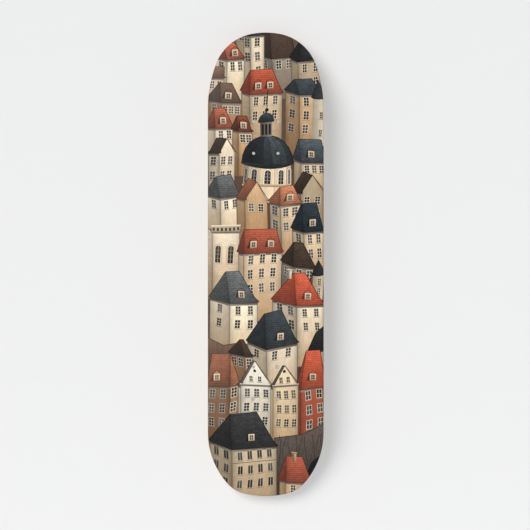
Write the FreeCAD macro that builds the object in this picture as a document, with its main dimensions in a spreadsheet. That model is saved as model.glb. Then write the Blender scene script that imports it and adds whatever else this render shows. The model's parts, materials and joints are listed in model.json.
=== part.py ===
import FreeCAD, Part
import math
import os

import Sketcher

# A bare double-kick skateboard deck, 31 by 7.75 inches, pressed from seven maple veneers and
# finished with a printed film on its underside.
#
# Frame: the deck is held upright by its tail truck bolts, tail up. The origin is the middle of
# the tail bolt pattern on the underside of the wood, +Z runs towards the tail, +X across the
# deck and +Y through it, from the printed underside towards the riding face. Depths are measured
# along +Y from the underside of the wood.

DRIVING_SIZES = {
    "deck_width": 196.85,         # rail to rail at the middle
    "bolt_pitch_across": 41.275,  # truck bolt pattern, across the deck
    "bolt_pitch_along": 53.975,   # truck bolt pattern, along the deck
    "bolt_hole": 5.2,             # diameter drilled for a 3/16 inch bolt
    "wheelbase": 361.95,          # between the two inner bolt rows
    "tail_overhang": 152.9,       # outer tail bolts to the tail tip
    "nose_overhang": 166.9,       # outer nose bolts to the nose tip
    "veneer_thickness": 1.58,
    "film_thickness": 0.15,
    "film_wrap": 2.8,             # how far up the rounded rail the film reaches
    "flat_width": 56.0,           # flat middle under the trucks
    "concave_radius": 280.0,      # curve of the underside from the flat out to the rails
    "kick_gap": 14.0,             # outer bolts to the start of the kick
    "kick_radius": 140.0,         # bend of the underside into the kick
    "kick_angle": 20.0,
    "rail_rounding": 4.5,         # round-over on both edges of the rail
    "tail_taper": 131.5,          # tail tip back to where the rails run straight
    "tail_side_radius": 228.0,
    "tail_shoulder_radius": 81.5,
    "tail_tip_radius": 125.0,
    "nose_taper": 109.0,
    "nose_side_radius": 132.0,
    "nose_shoulder_radius": 53.5,
    "nose_tip_radius": 158.0,
    "blank_margin": 12.0,         # waste beyond each rail of the pressed blank
    "saw_margin": 90.0,           # how far the waste sketch reaches past each tip
}

VENEERS = (
    "bottom_face_veneer",
    "lower_core_veneer",
    "lower_cross_veneer",
    "middle_core_veneer",
    "upper_cross_veneer",
    "upper_core_veneer",
    "top_face_veneer",
)

HALF_WIDTH = "Sizes.deck_width / 2"
BLANK_HALF_WIDTH = "(Sizes.deck_width / 2 + Sizes.blank_margin)"
WOOD_THICKNESS = f"(Sizes.veneer_thickness * {len(VENEERS)})"
TRUCK_SPAN = "(Sizes.wheelbase + Sizes.bolt_pitch_along)"
TAIL_TIP = "(Sizes.bolt_pitch_along / 2 + Sizes.tail_overhang)"
NOSE_TIP = f"({TRUCK_SPAN} + Sizes.bolt_pitch_along / 2 + Sizes.nose_overhang)"
KICK_START = "(Sizes.bolt_pitch_along / 2 + Sizes.kick_gap)"

# Sketcher's point numbers and its own vertical axis.
START, END, CENTRE = 1, 2, 3
ORIGIN_POINT = (-1, 1)
VERTICAL_AXIS = -2

# The order of the pieces of the outline sketch: the first arc of each end, and the rails.
FIRST_ARCS = (0, 6)
LEFT_RAIL, RIGHT_RAIL = 5, 11
OUTLINE_PIECES = 12

UP = FreeCAD.Vector(0, 0, 1)
SMALLEST_SLOPE = 1e-4
PROBES = (0.1, 0.5, 0.9)


def make_sheet(doc):
    """The driving sizes, one aliased cell each."""
    sheet = doc.addObject("Spreadsheet::Sheet", "Sizes")
    for row, (alias, size) in enumerate(DRIVING_SIZES.items(), start=1):
        sheet.set(f"A{row}", alias)
        sheet.set(f"B{row}", str(size))
        sheet.setAlias(f"B{row}", alias)
    doc.recompute()
    return sheet


def amount(doc, expression):
    """The present value of an expression on the sheet."""
    return float(doc.Sizes.evalExpression(expression))


def new_sketch(body, name, role):
    """An empty sketch on one of the body's own origin planes."""
    sketch = body.newObject("Sketcher::SketchObject", name)
    plane = next(feature for feature in body.Origin.OriginFeatures if feature.Role == role)
    sketch.AttachmentSupport = [(plane, "")]
    sketch.MapMode = "FlatFace"
    return sketch


def bind(sketch, name, expression, kind, *where):
    """Add one dimension and drive it from the sheet."""
    start_value = amount(sketch.Document, expression)
    if kind == "Angle":
        start_value = math.radians(start_value)
    index = sketch.addConstraint(Sketcher.Constraint(kind, *where, start_value))
    sketch.renameConstraint(index, name)
    sketch.setExpression(f"Constraints.{name}", expression)


def constrain(sketch, kind, *where):
    """Add one geometric constraint."""
    sketch.addConstraint(Sketcher.Constraint(kind, *where))


def segment(x1, y1, x2, y2):
    """A straight sketch line."""
    return Part.LineSegment(FreeCAD.Vector(x1, y1, 0), FreeCAD.Vector(x2, y2, 0))


def arc(x, y, radius, first, last):
    """A sketch arc, anticlockwise from the first angle to the last, in radians."""
    circle = Part.Circle(FreeCAD.Vector(x, y, 0), UP, radius)
    return Part.ArcOfCircle(circle, first, last)


def draw_layer_section(sketch, lower, upper):
    """Cross-section of one pressed layer, between two depths: a flat middle and curved rails."""
    doc = sketch.Document
    flat = amount(doc, "Sizes.flat_width / 2")
    centre = amount(doc, "Sizes.concave_radius")
    edge = amount(doc, BLANK_HALF_WIDTH)
    down = -math.pi / 2
    ends = []
    for depth in (amount(doc, lower), amount(doc, upper)):
        radius = centre - depth
        sweep = math.asin((edge - flat) / radius)
        sketch.addGeometry(segment(-flat, depth, flat, depth))
        sketch.addGeometry(arc(flat, centre, radius, down, down + sweep))
        sketch.addGeometry(arc(-flat, centre, radius, down - sweep, down))
        ends.append(centre - radius * math.cos(sweep))
    sketch.addGeometry(segment(edge, ends[0], edge, ends[1]))
    sketch.addGeometry(segment(-edge, ends[0], -edge, ends[1]))

    lower_flat, lower_right, lower_left, upper_flat, upper_right, upper_left = range(6)
    right_end, left_end = 6, 7
    faces = ((lower_flat, lower_right, lower_left), (upper_flat, upper_right, upper_left))
    for point, (middle, right, left) in zip((START, END), faces):
        constrain(sketch, "Tangent", middle, END, right, START)
        constrain(sketch, "Tangent", middle, START, left, END)
        constrain(sketch, "Horizontal", middle)
        constrain(sketch, "Coincident", right, END, right_end, point)
        constrain(sketch, "Coincident", left, START, left_end, point)
    constrain(sketch, "Coincident", lower_right, CENTRE, upper_right, CENTRE)
    constrain(sketch, "Coincident", lower_left, CENTRE, upper_left, CENTRE)
    constrain(sketch, "Vertical", right_end)
    constrain(sketch, "Vertical", left_end)
    constrain(sketch, "Equal", lower_right, lower_left)
    bind(sketch, "lower_depth", lower, "DistanceY", *ORIGIN_POINT, lower_flat, START)
    bind(sketch, "upper_depth", upper, "DistanceY", *ORIGIN_POINT, upper_flat, START)
    bind(sketch, "underside_radius", f"Sizes.concave_radius - ({lower})", "Radius", lower_right)
    bind(sketch, "flat_right", "Sizes.flat_width / 2", "DistanceX", *ORIGIN_POINT, lower_flat, END)
    bind(sketch, "flat_left", "Sizes.flat_width / 2", "DistanceX", lower_flat, START, *ORIGIN_POINT)
    bind(sketch, "edge_right", BLANK_HALF_WIDTH, "DistanceX", *ORIGIN_POINT, right_end, START)
    bind(sketch, "edge_left", BLANK_HALF_WIDTH, "DistanceX", left_end, START, *ORIGIN_POINT)


def draw_kick_path(sketch, side, straight, run):
    """Half of the lengthwise path: straight, a bend into the kick, and the kick itself."""
    doc = sketch.Document
    length = amount(doc, straight)
    radius = amount(doc, "Sizes.kick_radius")
    lean = math.radians(amount(doc, "Sizes.kick_angle"))
    reach = amount(doc, run)
    bend_y = radius * (1 - math.cos(lean))
    bend_z = side * (length + radius * math.sin(lean))
    sketch.addGeometry(segment(0, 0, 0, side * length))
    sketch.addGeometry(arc(radius, side * length, radius, *sorted((math.pi, math.pi - side * lean))))
    tip_y = bend_y + reach * math.sin(lean)
    tip_z = bend_z + side * reach * math.cos(lean)
    sketch.addGeometry(segment(bend_y, bend_z, tip_y, tip_z))

    flat, bend, kick = range(3)
    near, far = (END, START) if side > 0 else (START, END)
    constrain(sketch, "Coincident", flat, START, *ORIGIN_POINT)
    constrain(sketch, "Vertical", flat)
    constrain(sketch, "Tangent", flat, END, bend, near)
    constrain(sketch, "Tangent", bend, far, kick, START)
    bind(sketch, "straight", straight, "Distance", flat)
    bind(sketch, "bend_radius", "Sizes.kick_radius", "Radius", bend)
    bind(sketch, "lean", f"{side} * (90 - Sizes.kick_angle)", "Angle", kick)
    bind(sketch, "reach", run, "Distance", kick)


def press_layer(doc, name, lower, upper):
    """One pressed layer of the blank, between two depths, swept along both kicks."""
    body = doc.addObject("PartDesign::Body", f"{name}_blank")
    section = new_sketch(body, f"{name}_section", "XY_Plane")
    draw_layer_section(section, lower, upper)
    halves = (
        ("tail", 1, KICK_START, "Sizes.tail_overhang"),
        ("nose", -1, f"({TRUCK_SPAN} + {KICK_START})", "Sizes.nose_overhang"),
    )
    for half, side, straight, run in halves:
        path = new_sketch(body, f"{name}_{half}_path", "YZ_Plane")
        draw_kick_path(path, side, straight, run)
        doc.recompute()
        sweep = body.newObject("PartDesign::AdditivePipe", f"{name}_{half}_sweep")
        sweep.Profile = section
        sweep.Spine = (path, ["Edge1", "Edge2", "Edge3"])
        doc.recompute()
    return body


def shoulder_centre(side_centre, side_gap, tip_centre, tip_gap):
    """Where the shoulder arc must be centred to touch both the side arc and the tip arc."""
    run = math.dist(side_centre, tip_centre)
    along = (side_gap**2 - tip_gap**2 + run**2) / (2 * run)
    across = math.sqrt(side_gap**2 - along**2)
    unit_x = (tip_centre[0] - side_centre[0]) / run
    unit_y = (tip_centre[1] - side_centre[1]) / run
    return (side_centre[0] + along * unit_x - across * unit_y,
            side_centre[1] + along * unit_y + across * unit_x)


def end_arcs(half_width, tip, taper, side, shoulder, crown):
    """The five arcs round one end, from its right rail to its left, as if the end points up."""
    side_centre = (half_width - side, tip - taper)
    crown_centre = (0.0, tip - crown)
    middle = shoulder_centre(side_centre, side - shoulder, crown_centre, crown - shoulder)
    first = math.atan2(middle[1] - side_centre[1], middle[0] - side_centre[0])
    second = math.atan2(middle[1] - crown_centre[1], middle[0] - crown_centre[0])
    right = ((*side_centre, side, 0.0, first), (*middle, shoulder, first, second))
    left = [(-x, y, radius, math.pi - last, math.pi - start) for x, y, radius, start, last in right]
    return [*right, (*crown_centre, crown, second, math.pi - second), left[1], left[0]]


def end_sizes(inset):
    """Each end's name, the way it points, and its tip, taper and radii as expressions."""
    ends = []
    for end, tip, turn in (("tail", TAIL_TIP, 1), ("nose", NOSE_TIP, -1)):
        sizes = [f"(Sizes.{end}_{part} - {inset})"
                 for part in ("taper", "side_radius", "shoulder_radius", "tip_radius")]
        ends.append((end, turn, f"({tip} - {inset})", *sizes))
    return ends


def draw_outline(sketch, inset):
    """The closed outline of the deck seen square on, drawn in from its outer edge by an inset.

    It runs anticlockwise: five arcs round the tail, the left rail, five arcs round the nose and
    the right rail.
    """
    doc = sketch.Document
    half_width = f"({HALF_WIDTH} - {inset})"
    rail_x = amount(doc, half_width)
    ends = end_sizes(inset)
    tail_z, nose_z = (turn * amount(doc, f"{tip} - {taper}") for _, turn, tip, taper, *_ in ends)
    rails = (segment(-rail_x, tail_z, -rail_x, nose_z), segment(rail_x, nose_z, rail_x, tail_z))
    for (_, turn, *sizes), rail in zip(ends, rails):
        half_turn = 0.0 if turn > 0 else math.pi
        numbers = [amount(doc, size) for size in (half_width, *sizes)]
        for x, y, radius, first, last in end_arcs(*numbers):
            sketch.addGeometry(arc(turn * x, turn * y, radius, first + half_turn, last + half_turn))
        sketch.addGeometry(rail)

    for index in range(OUTLINE_PIECES):
        constrain(sketch, "Tangent", index, END, (index + 1) % OUTLINE_PIECES, START)
    constrain(sketch, "Vertical", LEFT_RAIL)
    constrain(sketch, "Vertical", RIGHT_RAIL)
    bind(sketch, "rail_right", half_width, "DistanceX", *ORIGIN_POINT, RIGHT_RAIL, START)
    bind(sketch, "rail_left", half_width, "DistanceX", LEFT_RAIL, START, *ORIGIN_POINT)
    for first, (end, turn, tip, taper, side, shoulder, crown) in zip(FIRST_ARCS, ends):
        middle, last = first + 2, first + 4
        constrain(sketch, "Equal", first, last)
        constrain(sketch, "Equal", first + 1, last - 1)
        constrain(sketch, "PointOnObject", middle, CENTRE, VERTICAL_AXIS)
        bind(sketch, f"{end}_side", side, "Radius", first)
        bind(sketch, f"{end}_shoulder", shoulder, "Radius", first + 1)
        bind(sketch, f"{end}_crown", crown, "Radius", middle)
        heights = (
            ("crown_height", f"{tip} - {crown}", (middle, CENTRE)),
            ("taper_start", f"{tip} - {taper}", (first, START)),
            ("taper_finish", f"{tip} - {taper}", (last, END)),
        )
        for name, height, point in heights:
            order = (*ORIGIN_POINT, *point) if turn > 0 else (*point, *ORIGIN_POINT)
            bind(sketch, f"{end}_{name}", height, "DistanceY", *order)


def draw_waste_border(sketch):
    """A rectangle round the outline and outside the blank: what lies between is sawn away."""
    first = OUTLINE_PIECES
    doc = sketch.Document
    side = f"({BLANK_HALF_WIDTH} + Sizes.blank_margin)"
    top = f"({TAIL_TIP} + Sizes.saw_margin)"
    bottom = f"({NOSE_TIP} + Sizes.saw_margin)"
    x, high, low = (amount(doc, entry) for entry in (side, top, bottom))
    corners = [(-x, -low), (x, -low), (x, high), (-x, high)]
    for index, corner in enumerate(corners):
        sketch.addGeometry(segment(*corner, *corners[(index + 1) % 4]))
    for index, kind in enumerate(("Horizontal", "Vertical", "Horizontal", "Vertical")):
        constrain(sketch, "Coincident", first + index, END, first + (index + 1) % 4, START)
        constrain(sketch, kind, first + index)
    bind(sketch, "waste_right", side, "DistanceX", *ORIGIN_POINT, first + 1, START)
    bind(sketch, "waste_left", side, "DistanceX", first + 3, START, *ORIGIN_POINT)
    bind(sketch, "waste_top", top, "DistanceY", *ORIGIN_POINT, first + 2, START)
    bind(sketch, "waste_bottom", bottom, "DistanceY", first, START, *ORIGIN_POINT)


def is_rail_wall(face):
    """Whether a face is part of the sawn wall, which runs straight through the deck."""
    low_u, high_u, low_v, high_v = face.ParameterRange
    slopes = [face.normalAt(low_u + (high_u - low_u) * u, low_v + (high_v - low_v) * v).y
              for u in PROBES for v in PROBES]
    return max(abs(slope) for slope in slopes) < SMALLEST_SLOPE


def rim_edges(shape):
    """The names of the edges where the sawn wall meets the two broad faces."""
    names = []
    for index, edge in enumerate(shape.Edges, start=1):
        walls = [face for face in shape.ancestorsOfType(edge, Part.Face) if is_rail_wall(face)]
        if len(walls) == 1:
            names.append(f"Edge{index}")
    return names


def draw_bolt_holes(sketch):
    """Two patterns of four truck bolt holes."""
    doc = sketch.Document
    across = "Sizes.bolt_pitch_across / 2"
    rows = (
        ("tail_outer", 1, "Sizes.bolt_pitch_along / 2"),
        ("tail_inner", -1, "Sizes.bolt_pitch_along / 2"),
        ("nose_inner", -1, f"{TRUCK_SPAN} - Sizes.bolt_pitch_along / 2"),
        ("nose_outer", -1, f"{TRUCK_SPAN} + Sizes.bolt_pitch_along / 2"),
    )
    x = amount(doc, across)
    radius = amount(doc, "Sizes.bolt_hole / 2")
    index = 0
    for name, up, height in rows:
        for column, right in (("right", 1), ("left", -1)):
            centre = FreeCAD.Vector(right * x, up * amount(doc, height), 0)
            sketch.addGeometry(Part.Circle(centre, UP, radius))
            over = (*ORIGIN_POINT, index, CENTRE) if right > 0 else (index, CENTRE, *ORIGIN_POINT)
            along = (*ORIGIN_POINT, index, CENTRE) if up > 0 else (index, CENTRE, *ORIGIN_POINT)
            bind(sketch, f"{name}_{column}_x", across, "DistanceX", *over)
            bind(sketch, f"{name}_{column}_z", height, "DistanceY", *along)
            bind(sketch, f"{name}_{column}_size", "Sizes.bolt_hole", "Diameter", index)
            index += 1


def cut_through(body, sketch, name):
    """Cut a sketch right through the body, both ways from its plane."""
    pocket = body.newObject("PartDesign::Pocket", name)
    pocket.Profile = sketch
    pocket.Type = "ThroughAll"
    pocket.Midplane = True
    return pocket


def shape_deck(doc, name, lower, upper, inset):
    """A whole undrilled deck: pressed, sawn to its outline and rounded over on both edges."""
    body = press_layer(doc, name, lower, upper)
    pressed_volume = body.Shape.Volume
    waste = new_sketch(body, f"{name}_waste", "XZ_Plane")
    draw_outline(waste, inset)
    draw_waste_border(waste)
    sawn = cut_through(body, waste, f"{name}_sawn")
    doc.recompute()
    sawn_volume = body.Shape.Volume
    rounding = body.newObject("PartDesign::Fillet", f"{name}_rounding")
    rounding.Base = (sawn, rim_edges(sawn.Shape))
    rounding.setExpression("Radius", f"Sizes.rail_rounding - {inset}")
    doc.recompute()
    if not pressed_volume > sawn_volume > body.Shape.Volume:
        raise RuntimeError(f"{name}: a cut removed nothing")
    return body


def make_drill(doc):
    """Eight straight pins, as wide as the bolt holes and longer than the deck is thick."""
    body = doc.addObject("PartDesign::Body", "bolt_drill")
    pattern = new_sketch(body, "bolt_holes", "XZ_Plane")
    draw_bolt_holes(pattern)
    pins = body.newObject("PartDesign::Pad", "bolt_pins")
    pins.Profile = pattern
    pins.Midplane = True
    pins.setExpression("Length", f"4 * {WOOD_THICKNESS}")
    doc.recompute()
    return body


def combine(doc, kind, name, base, tool):
    """A boolean of two objects under its own name."""
    result = doc.addObject(kind, name)
    result.Base = base
    result.Tool = tool
    return result


def make_veneers(doc, wood):
    """Seven veneers, face to face through the thickness of the wood."""
    veneers = []
    for index, name in enumerate(VENEERS):
        lower = f"Sizes.veneer_thickness * {index}"
        upper = f"Sizes.veneer_thickness * {index + 1}"
        layer = press_layer(doc, name, lower, upper)
        veneers.append(combine(doc, "Part::Common", name, wood, layer))
    return veneers


def make_film(doc, wood, covered, drill):
    """The printed film: the skin between bare and covered wood, below the film's edge."""
    skin = combine(doc, "Part::Cut", "film_skin", covered, wood)
    reach = press_layer(doc, "film_reach", "-2 * Sizes.film_thickness", "Sizes.film_wrap")
    trimmed = combine(doc, "Part::Common", "film_trimmed", skin, reach)
    return combine(doc, "Part::Cut", "graphic_film", trimmed, drill)


def check(doc, sub_parts):
    """Stop on any failed object, loose sketch or broken shape."""
    for thing in doc.Objects:
        if "Invalid" in thing.State or "Error" in thing.State:
            raise RuntimeError(f"{thing.Label} failed: {thing.State}")
        if thing.isDerivedFrom("Sketcher::SketchObject") and thing.solve() != 0:
            raise RuntimeError(f"{thing.Label} does not solve")
    for part in sub_parts:
        if part.Shape.isNull() or not part.Shape.isValid():
            raise RuntimeError(f"{part.Label} has no valid shape")
        if len(part.Shape.Solids) != 1:
            raise RuntimeError(f"{part.Label} is not one solid")


def export(sub_parts):
    """Write each sub-part to a STEP file named after it."""
    os.makedirs("parts", exist_ok=True)
    for part in sub_parts:
        part.Shape.exportStep(f"parts/{part.Label}.step")


def main():
    doc = FreeCAD.newDocument("skateboard_deck")
    make_sheet(doc)
    drill = make_drill(doc)
    wood = shape_deck(doc, "wood", "0", WOOD_THICKNESS, "Sizes.film_thickness")
    outer_face = f"({WOOD_THICKNESS} + Sizes.film_thickness)"
    covered = shape_deck(doc, "covered", "-Sizes.film_thickness", outer_face, "0")
    drilled = combine(doc, "Part::Cut", "drilled_wood", wood, drill)
    sub_parts = [*make_veneers(doc, drilled), make_film(doc, wood, covered, drill)]
    doc.recompute()
    check(doc, sub_parts)
    export(sub_parts)
    for part in sub_parts:
        box = part.Shape.BoundBox
        print(f"{part.Label}: {part.Shape.Volume:.0f} mm3, {box.XLength:.2f} x {box.YLength:.2f} "
              f"x {box.ZLength:.2f} mm")


main()
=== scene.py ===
import json
import math
import random

import bpy
import numpy as np
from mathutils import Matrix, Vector
from mathutils.geometry import delaunay_2d_cdt


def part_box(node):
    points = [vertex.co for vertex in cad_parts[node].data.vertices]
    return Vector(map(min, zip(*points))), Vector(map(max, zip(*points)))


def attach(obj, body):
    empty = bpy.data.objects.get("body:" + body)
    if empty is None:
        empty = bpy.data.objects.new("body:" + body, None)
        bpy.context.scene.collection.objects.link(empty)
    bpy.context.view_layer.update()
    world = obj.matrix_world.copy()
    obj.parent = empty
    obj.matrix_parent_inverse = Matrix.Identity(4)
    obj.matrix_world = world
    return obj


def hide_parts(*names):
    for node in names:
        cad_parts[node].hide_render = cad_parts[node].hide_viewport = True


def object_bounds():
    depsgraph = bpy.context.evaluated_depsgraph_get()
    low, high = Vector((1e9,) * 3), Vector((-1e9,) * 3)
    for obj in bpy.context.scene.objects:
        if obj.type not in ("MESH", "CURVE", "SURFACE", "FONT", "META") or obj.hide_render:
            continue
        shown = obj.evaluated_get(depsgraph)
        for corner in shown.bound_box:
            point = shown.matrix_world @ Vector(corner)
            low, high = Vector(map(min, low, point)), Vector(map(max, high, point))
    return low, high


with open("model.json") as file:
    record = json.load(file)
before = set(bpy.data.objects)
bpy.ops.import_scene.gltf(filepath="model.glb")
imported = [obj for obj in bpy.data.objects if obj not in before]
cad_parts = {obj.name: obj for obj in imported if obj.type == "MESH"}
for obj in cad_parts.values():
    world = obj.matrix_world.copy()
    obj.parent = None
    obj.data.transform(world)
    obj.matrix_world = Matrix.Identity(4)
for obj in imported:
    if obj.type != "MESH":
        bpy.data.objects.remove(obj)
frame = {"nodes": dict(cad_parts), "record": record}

# A bare skateboard deck hung upright in front of a pale wall, its printed underside to the
# camera. The CAD veneers keep their shape and get wood materials. The printed film is rebuilt as
# one thin skin, cut along the lines of a painted town of the builder's own design.
#
# The film and its picture are worked out in millimetres: x from the deck's centreline and z up,
# which in the picture starts at the tip of the nose. Everything else is in metres, in the frame
# of the CAD model.

CAD_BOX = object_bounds()
MM = 0.001

# ---------------------------------------------------------------- the deck's own surface

# These sizes repeat the CAD model's, because the film follows the same curved surface.
HALF_WIDTH = 98.425
FLAT_HALF_WIDTH = 28.0
CONCAVE_RADIUS = 280.0
KICK_GAP = 14.0
KICK_RADIUS = 140.0
KICK_ANGLE = math.radians(20.0)
RAIL_ROUNDING = 4.5
FILM_THICKNESS = 0.15
TAIL_END = {"taper": 131.5, "side": 228.0, "shoulder": 81.5, "tip": 125.0}
NOSE_END = {"taper": 109.0, "side": 132.0, "shoulder": 53.5, "tip": 158.0}

MOUNTS = {mount["name"]: mount for mount in frame["record"]["mounts"]}
TRUCKS = [MOUNTS["tail_truck_bolts"], MOUNTS["nose_truck_bolts"]]
TRUCK_HEIGHTS = [truck["pos_m"][2] / MM for truck in TRUCKS]
BOLT_ACROSS = TRUCKS[0]["dims"]["spacing_x_mm"]
BOLT_ALONG = TRUCKS[0]["dims"]["spacing_y_mm"]
HOLE_RADIUS = TRUCKS[0]["dims"]["hole_r_mm"]
NOSE_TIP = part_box("graphic_film")[0].z / MM
TAIL_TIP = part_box("graphic_film")[1].z / MM
SLOPE_STEP = 0.01


def end_arcs(end):
    """Centre, radius and angles of the arcs on the right of one end, as if its tip is at 0, up."""
    side_x, side_z = HALF_WIDTH - end["side"], -end["taper"]
    crown_z = -end["tip"]
    side_gap, tip_gap = end["side"] - end["shoulder"], end["tip"] - end["shoulder"]
    run = math.hypot(side_x, side_z - crown_z)
    along = (side_gap**2 - tip_gap**2 + run**2) / (2 * run)
    off = math.sqrt(side_gap**2 - along**2)
    unit_x, unit_z = -side_x / run, (crown_z - side_z) / run
    middle = (side_x + along * unit_x - off * unit_z, side_z + along * unit_z + off * unit_x)
    first = math.atan2(middle[1] - side_z, middle[0] - side_x)
    second = math.atan2(middle[1] - crown_z, middle[0])
    return [
        (side_x, side_z, end["side"], 0.0, first),
        (*middle, end["shoulder"], first, second),
        (0.0, crown_z, end["tip"], second, math.pi / 2),
    ]


def quarter_points(end, step):
    """Points from the right rail to the tip of one end, about a step apart."""
    points = []
    for x, z, radius, first, last in end_arcs(end):
        count = max(2, round(radius * (last - first) / step))
        for index in range(count):
            angle = first + (last - first) * index / count
            points.append((x + radius * math.cos(angle), z + radius * math.sin(angle)))
    return points


def deck_outline(step):
    """The deck's outline, anticlockwise from the right rail, as x and z in millimetres."""
    tail = [(x, TAIL_TIP + z) for x, z in quarter_points(TAIL_END, step)]
    nose = [(x, NOSE_TIP - z) for x, z in quarter_points(NOSE_END, step)]
    rail = np.arange(nose[0][1] + step, tail[0][1] - step / 2, step)
    right = [(HALF_WIDTH, z) for z in rail] + tail + [(0.0, TAIL_TIP)]
    left = [(-x, z) for x, z in reversed(right[:-1])]
    lower_left = [(-x, z) for x, z in nose]
    lower_right = [(x, z) for x, z in reversed(nose)]
    return np.array(right + left + lower_left + [(0.0, NOSE_TIP)] + lower_right)


def edge_distance(points, outline):
    """How far each point lies inside the outline, and the way straight out from it."""
    start, end = outline, np.roll(outline, -1, axis=0)
    run = end - start
    length = np.hypot(run[:, 0], run[:, 1])
    nearest = np.full(len(points), np.inf)
    outward = np.zeros_like(points)
    for (x, z), (dx, dz), size in zip(start, run, length):
        way = np.array([dz, -dx]) / size
        along = np.clip(((points[:, 0] - x) * dx + (points[:, 1] - z) * dz) / size**2, 0, 1)
        gap = np.hypot(points[:, 0] - x - along * dx, points[:, 1] - z - along * dz)
        closer = gap < nearest
        nearest[closer] = gap[closer]
        outward[closer] = way
    return nearest, outward


def face_depth(x, z):
    """Depth of the film's broad face behind the flat middle, before the rail is rounded."""
    reach = np.maximum(np.abs(x) - FLAT_HALF_WIDTH, 0.0)
    radius = CONCAVE_RADIUS + FILM_THICKNESS
    rise = radius - np.sqrt(radius**2 - reach**2) - FILM_THICKNESS
    bend = KICK_RADIUS - rise
    middle = sum(TRUCK_HEIGHTS) / 2
    kick_start = (TRUCK_HEIGHTS[0] - TRUCK_HEIGHTS[1]) / 2 + BOLT_ALONG / 2 + KICK_GAP
    past = np.maximum(np.abs(z - middle) - kick_start, 0.0)
    turn = np.arcsin(np.clip(past / bend, 0.0, math.sin(KICK_ANGLE)))
    straight = np.maximum(past - bend * math.sin(KICK_ANGLE), 0.0)
    return KICK_RADIUS - bend * np.cos(turn) + straight * math.tan(KICK_ANGLE)


def print_depth(points, outline):
    """Depth of the film's outer face at each point, rounded rail included.

    The rounding is a ball that rolls along the rail, resting on the broad face's slope.
    """
    margin, outward = edge_distance(points, outline)
    depth = face_depth(points[:, 0], points[:, 1])
    centre = points + outward * (margin - RAIL_ROUNDING)[:, None]
    x, z = centre[:, 0], centre[:, 1]
    slope_x = face_depth(x + SLOPE_STEP, z) - face_depth(x - SLOPE_STEP, z)
    slope_z = face_depth(x, z + SLOPE_STEP) - face_depth(x, z - SLOPE_STEP)
    slope = np.stack([slope_x, slope_z], axis=1) / (2 * SLOPE_STEP)
    steepness = (slope**2).sum(axis=1)
    across = (slope * outward).sum(axis=1)
    along = np.maximum(steepness - across**2, 0.0)
    reach = RAIL_ROUNDING - margin
    touching = RAIL_ROUNDING * across / np.sqrt(1 + steepness)
    ball = face_depth(x, z) + RAIL_ROUNDING * np.sqrt(1 + steepness)
    drop = np.sqrt(np.maximum(RAIL_ROUNDING**2 - reach**2, 0.0)) * np.sqrt(1 + along)
    return np.where(reach > touching, ball - drop, depth)


# ---------------------------------------------------------------- the painted town

IVORY = (240, 224, 198)
CREAM = (226, 202, 170)
CHALK = (222, 216, 202)
SAND = (200, 166, 128)
TAN = (166, 128, 96)
BUFF = (192, 174, 146)
ROSE = (196, 126, 94)
BRICK = (172, 88, 66)
TERRACOTTA = (166, 92, 68)
SCARLET = (196, 92, 66)
RUST = (140, 74, 54)
BROWN = (112, 86, 70)
UMBER = (74, 58, 48)
PEWTER = (104, 106, 106)
SLATE = (62, 68, 72)
NAVY = (46, 56, 62)
CHARCOAL = (50, 50, 50)
STONE = (124, 116, 106)
ROCK = (100, 88, 80)
GLASS = (40, 38, 38)
SOOT = (28, 25, 24)

# Shares of a colour's own brightness: 1 is as it is, and less is darker.
LEFT_SHADE = 0.76
FOOT_SHADE = 0.74
HEAD_LIGHT = 1.05
LINE_SHADE = 0.42
RIDGE_SHADE = 0.5
ARRIS_SHADE = 0.4
SLOPE_SHADES = (0.82, 1.2)
HIP_SHADES = (0.8, 1.12)
WARMTH = (1.06, 0.95, 0.84)

# The share of the brightness that is lost at the left and right ends of a wall or a roof.
SIDE_SHADE = 0.26

# Millimetres on the print, except for the two that are shares of a wall or a roof.
LINE_WIDTH = 0.9
FOOTING = 42.0
STOREY = 24.0
WINDOW_RISE = 4.4
WALL_MARGIN = 0.06
GLAZING_BAR = 0.62
SILL_REACH = 1.0
SILL_DROP = 0.8
SILL_WIDTH = 1.1
EAVE_SHADOW = 4.5
GUTTER_WIDTH = 1.6
OVERHANG = 3.2
BELL_CAST = 0.16
LEAST_STROKE = 0.01
PICTURE_TOP = 800.0

# An unsteady hand: how far it strays one way, and how long its waves are at right angles to that
# way and along it.
SWAY_ACROSS = {"reach": 1.7, "wave": 21.0, "drift": 47.0}
SWAY_UP = {"reach": 1.9, "wave": 19.0, "drift": 53.0}

# The polygons of the picture, each one over those before it.
picture = []
hand = random.Random(11)


def tone(colour, factor):
    """A colour made darker or lighter."""
    return tuple(min(255.0, value * factor) for value in colour)


def warm(colour):
    """A colour turned towards brown, as in the shade at the foot of a wall."""
    return tuple(value * share for value, share in zip(colour, WARMTH))


def sway(point):
    """A place as an unsteady hand would put it: moved a little, in long waves."""
    x, z = point
    across = SWAY_ACROSS["reach"] * math.sin(z / SWAY_ACROSS["wave"] + x / SWAY_ACROSS["drift"])
    up = SWAY_UP["reach"] * math.sin(x / SWAY_UP["wave"] + z / SWAY_UP["drift"])
    return (x + across, z + up)


def paint(points, surface, low, high=None, across=False, sides=0.0):
    """Add a polygon over what is there. Its tone runs from low to high, upwards or across.

    The share that sides gives is taken off the tone at its left and right ends.
    """
    high = high or low
    picture.append({"points": [sway(point) for point in points], "surface": surface,
                    "low": low, "high": high, "across": across, "sides": sides})


def wash(points, surface, colour, low, high, across=False, sides=0.0):
    """A polygon in one colour, whose brightness runs from low to high."""
    paint(points, surface, tone(colour, low), tone(colour, high), across, sides)


def rectangle(left, right, foot, top):
    """The corners of an upright rectangle."""
    return [(left, foot), (right, foot), (right, top), (left, top)]


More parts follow.
